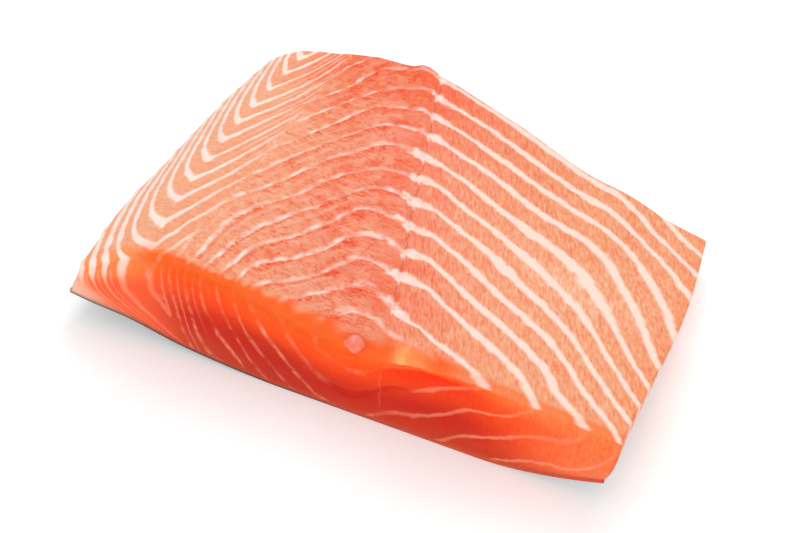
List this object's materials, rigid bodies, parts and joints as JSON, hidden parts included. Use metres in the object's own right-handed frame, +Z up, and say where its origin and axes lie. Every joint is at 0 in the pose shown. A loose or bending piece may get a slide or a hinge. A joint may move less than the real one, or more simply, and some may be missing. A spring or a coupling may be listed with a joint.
{
  "type": "skin-on salmon fillet",
  "caption": "Raw skin-on salmon fillet piece, cut square across, thick at the loin and thinner at the belly edge, lying on its skin.",
  "frame": {"origin": "middle of the underside's bounding box, on the surface that the skin rests on", "axes": "+X across the piece from the thick back loin to the thin belly edge, +Y from the front cut to the rear cut, +Z up"},
  "size_m": [0.151, 0.1008, 0.0377],
  "materials": {
    "flesh": "moist raw orange flesh with pale fat seams",
    "skin": "wet silver-grey fish skin with fine scales"
  },
  "bodies": {
    "root": {"flesh": "flesh", "skin": "skin"}
  },
  "joints": []
}
